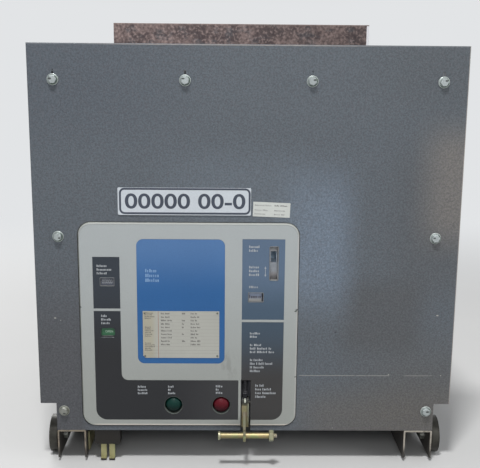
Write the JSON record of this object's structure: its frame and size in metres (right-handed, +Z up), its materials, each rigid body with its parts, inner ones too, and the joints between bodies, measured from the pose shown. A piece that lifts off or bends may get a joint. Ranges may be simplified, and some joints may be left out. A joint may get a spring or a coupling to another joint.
{
  "type": "drawout circuit breaker",
  "caption": "Drawout medium-voltage vacuum circuit breaker on a wheeled truck, with control panel, push buttons, latch handle and rear finger clusters.",
  "frame": {"origin": "on the floor under the wheels, at the centre of the outline seen from above", "axes": "+Z up; +Y to the rear, the way the finger clusters meet the cell; +X to the operator's right"},
  "size_m": [0.7396, 0.691, 0.792],
  "materials": {
    "panel_paint": "semi-gloss blue-grey enamel with fine orange peel",
    "frame_paint": "dark grey enamel, worn light along cut edges",
    "bezel": "warm light grey, fine moulded texture",
    "legend": "dark charcoal printed film",
    "nameplate_blue": "satin blue printed aluminium",
    "rating_white": "matt white printed aluminium",
    "zinc": "dull zinc plate",
    "zinc_yellow": "yellow chromated zinc plate",
    "lever_yellow": "pale yellow chromate on the feet, dark above",
    "button_green": "dark green moulding",
    "button_red": "deep red moulding",
    "flag_green": "green printed flag",
    "flag_pale": "pale printed flag with a dark bar",
    "counter_black": "black case with white figures",
    "charge_plate": "worn plated steel",
    "tag_white": "engraved laminate with a dark border",
    "sticker_cream": "yellowed paper label",
    "wheel_steel": "dark rolled steel, bright tread",
    "laminate": "mottled purple-brown glass laminate, pale cut edges",
    "polyester": "red-brown glass polyester moulding",
    "ceramic": "glazed off-white ceramic with metal ends",
    "silvered_copper": "silver-plated copper, tarnished",
    "spring_steel": "bright spring wire",
    "rod_resin": "cast resin",
    "contact_black": "black phenolic block"
  },
  "bodies": {
    "truck": {"front_panel": "panel_paint", "panel_bolts": "zinc", "control_bezel": "bezel", "legend_panels": "legend", "nameplate": "nameplate_blue", "rating_plate": "rating_white", "operations_counter": "counter_black", "contact_status_flag": "flag_green", "spring_status_flag": "flag_pale", "mechanism_housing": "frame_paint", "mechanism_pins": "zinc", "identification_tag": "tag_white", "inspection_sticker": "sticker_cream", "side_sheet_left": "frame_paint", "side_sheet_right": "frame_paint", "top_rail": "frame_paint", "base_pan": "frame_paint", "wheel_channel_left": "frame_paint", "wheel_channel_right": "frame_paint", "rear_cross_member": "frame_paint", "axle_studs": "zinc", "interlock_guide": "frame_paint", "interlock_levers": "lever_yellow", "interlock_bracket": "zinc_yellow", "pole_mounting_plate": "frame_paint", "upper_standoffs": "polyester", "lower_standoffs": "polyester", "vacuum_interrupter_a": "ceramic", "vacuum_interrupter_b": "ceramic", "vacuum_interrupter_c": "ceramic", "upper_stabs": "silvered_copper", "lower_stabs": "silvered_copper", "primary_fingers_upper": "silvered_copper", "primary_fingers_lower": "silvered_copper", "finger_springs": "spring_steel", "drive_rods": "rod_resin", "drive_cranks": "zinc", "front_barrier": "laminate", "interphase_barriers": "laminate", "side_barriers": "laminate", "ground_contact": "silvered_copper", "secondary_contact_block": "contact_black", "levering_bracket": "zinc"},
    "wheel_front_left": {"wheel_front_left": "wheel_steel"},
    "wheel_front_right": {"wheel_front_right": "wheel_steel"},
    "wheel_rear_left": {"wheel_rear_left": "wheel_steel"},
    "wheel_rear_right": {"wheel_rear_right": "wheel_steel"},
    "close_button": {"close_button": "button_green"},
    "open_button": {"open_button": "button_red"},
    "charge_lever": {"charge_lever": "charge_plate"},
    "latch_handle": {"latch_lever": "zinc_yellow", "handle_tube": "zinc_yellow", "handle_bolt": "zinc_yellow"}
  },
  "joints": [
    {"name": "wheel_front_left_spin", "type": "hinge", "parent": "truck", "child": "wheel_front_left", "pos_m": [-0.353, -0.261, 0.034], "axis": [1, 0, 0], "continuous": true},
    {"name": "wheel_rear_left_spin", "type": "hinge", "parent": "truck", "child": "wheel_rear_left", "pos_m": [-0.353, 0.2105, 0.034], "axis": [1, 0, 0], "continuous": true},
    {"name": "wheel_front_right_spin", "type": "hinge", "parent": "truck", "child": "wheel_front_right", "pos_m": [0.353, -0.261, 0.034], "axis": [1, 0, 0], "continuous": true},
    {"name": "wheel_rear_right_spin", "type": "hinge", "parent": "truck", "child": "wheel_rear_right", "pos_m": [0.353, 0.2105, 0.034], "axis": [1, 0, 0], "continuous": true},
    {"name": "close_push", "type": "slide", "parent": "truck", "child": "close_button", "axis": [0, 1, 0], "range_m": [0, 0.006], "stiffness_N_per_m": 900, "springref_m": -0.004},
    {"name": "open_push", "type": "slide", "parent": "truck", "child": "open_button", "axis": [0, 1, 0], "range_m": [0, 0.006], "stiffness_N_per_m": 900, "springref_m": -0.004},
    {"name": "charge_pump", "type": "hinge", "parent": "truck", "child": "charge_lever", "pos_m": [0.047, -0.225, 0.3733], "axis": [1, 0, 0], "range_deg": [0, 20], "stiffness_Nm_per_rad": 1.2, "springref_deg": -20.05},
    {"name": "latch_lift", "type": "hinge", "parent": "truck", "child": "latch_handle", "pos_m": [-0.00075, -0.2955, 0.109], "axis": [-1, 0, 0], "range_deg": [0, 35]}
  ]
}
